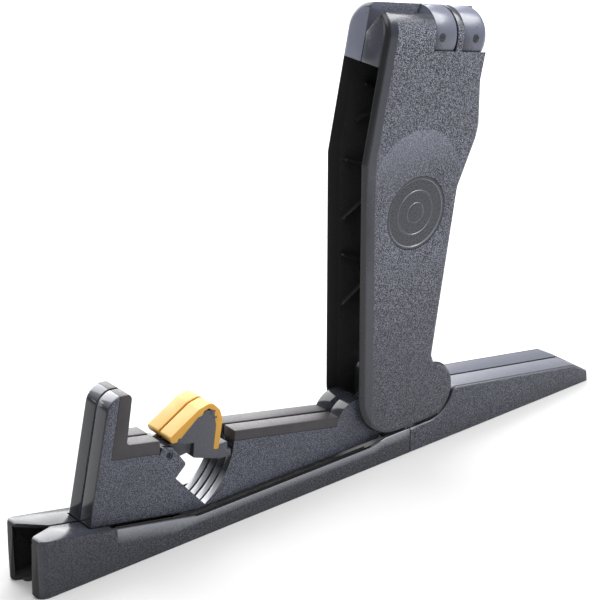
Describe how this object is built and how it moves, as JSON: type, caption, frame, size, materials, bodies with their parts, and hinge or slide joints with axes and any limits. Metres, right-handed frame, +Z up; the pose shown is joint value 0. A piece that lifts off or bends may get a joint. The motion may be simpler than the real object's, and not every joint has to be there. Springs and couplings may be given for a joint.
{
  "type": "folding saxophone stand",
  "caption": "Folding in-bell saxophone stand of moulded plastic: a hinged flat post, folding front and rear feet, and support arms with a cradle prong and tipping rubber pads",
  "frame": {"origin": "On the floor, under the middle of the stand's bounding box, in the plane where the two halves meet", "axes": "+X from the front tip to the rear foot, +Y to the right half, +Z up"},
  "size_m": [0.419, 0.034, 0.2792],
  "materials": {
    "shell_plastic": "dark grey moulded plastic with a fine spark-eroded grain",
    "liner_rubber": "smooth soft dark grey rubber",
    "pad_rubber": "pale yellow moulded rubber",
    "badge_plastic": "satin dark grey plastic",
    "zinc_steel": "zinc-plated steel",
    "dark_steel": "blackened steel"
  },
  "bodies": {
    "left_post": {"left_post_shell": "shell_plastic", "left_arm_bracket": "zinc_steel", "left_arm_pin": "zinc_steel", "left_bracket_screws": "dark_steel", "left_badge": "badge_plastic", "left_front_pivot_washer": "zinc_steel", "left_rear_pivot_washer": "zinc_steel", "left_front_pivot_screw": "dark_steel", "left_rear_pivot_screw": "dark_steel", "hinge_pin": "zinc_steel"},
    "left_front_foot": {"left_front_foot": "shell_plastic", "left_front_sole_pad": "liner_rubber"},
    "left_rear_foot": {"left_rear_foot": "shell_plastic", "left_rear_sole_pad": "liner_rubber"},
    "left_arm": {"left_support_arm": "shell_plastic", "left_cradle_liner": "liner_rubber", "left_ledge_liner": "liner_rubber", "left_pad_pin": "zinc_steel"},
    "left_pad": {"left_pad_core": "shell_plastic", "left_pad_rubber": "pad_rubber"},
    "right_post": {"right_post_shell": "shell_plastic", "right_arm_bracket": "zinc_steel", "right_arm_pin": "zinc_steel", "right_bracket_screws": "dark_steel", "right_badge": "badge_plastic", "right_front_pivot_washer": "zinc_steel", "right_rear_pivot_washer": "zinc_steel", "right_front_pivot_screw": "dark_steel", "right_rear_pivot_screw": "dark_steel"},
    "right_front_foot": {"right_front_foot": "shell_plastic", "right_front_sole_pad": "liner_rubber"},
    "right_rear_foot": {"right_rear_foot": "shell_plastic", "right_rear_sole_pad": "liner_rubber"},
    "right_arm": {"right_support_arm": "shell_plastic", "right_cradle_liner": "liner_rubber", "right_ledge_liner": "liner_rubber", "right_pad_pin": "zinc_steel"},
    "right_pad": {"right_pad_core": "shell_plastic", "right_pad_rubber": "pad_rubber"}
  },
  "joints": [
    {"name": "top_hinge", "type": "hinge", "parent": "left_post", "child": "right_post", "pos_m": [0.066, 0, 0.2555], "axis": [0.9781, 0, -0.2079], "range_deg": [0, 36]},
    {"name": "left_front_foot_fold", "type": "hinge", "parent": "left_post", "child": "left_front_foot", "pos_m": [0.0444, -0.0127, 0.0466], "axis": [0, -1, 0], "range_deg": [-90, 0]},
    {"name": "left_rear_foot_fold", "type": "hinge", "parent": "left_post", "child": "left_rear_foot", "pos_m": [0.0697, -0.0127, 0.0356], "axis": [0, 1, 0], "range_deg": [-90, 0]},
    {"name": "left_arm_fold", "type": "hinge", "parent": "left_post", "child": "left_arm", "pos_m": [0.0155, -0.005, 0.031], "axis": [0, -1, 0], "range_deg": [-90, 0]},
    {"name": "left_pad_fold", "type": "hinge", "parent": "left_arm", "child": "left_pad", "pos_m": [-0.1183, -0.005, 0.054], "axis": [0, -1, 0], "range_deg": [-38, 0]},
    {"name": "right_front_foot_fold", "type": "hinge", "parent": "right_post", "child": "right_front_foot", "pos_m": [0.0444, 0.0127, 0.0466], "axis": [0, -1, 0], "range_deg": [-90, 0]},
    {"name": "right_rear_foot_fold", "type": "hinge", "parent": "right_post", "child": "right_rear_foot", "pos_m": [0.0697, 0.0127, 0.0356], "axis": [0, 1, 0], "range_deg": [-90, 0]},
    {"name": "right_arm_fold", "type": "hinge", "parent": "right_post", "child": "right_arm", "pos_m": [0.0155, 0.005, 0.031], "axis": [0, -1, 0], "range_deg": [-90, 0]},
    {"name": "right_pad_fold", "type": "hinge", "parent": "right_arm", "child": "right_pad", "pos_m": [-0.1183, 0.005, 0.054], "axis": [0, -1, 0], "range_deg": [-38, 0]}
  ]
}
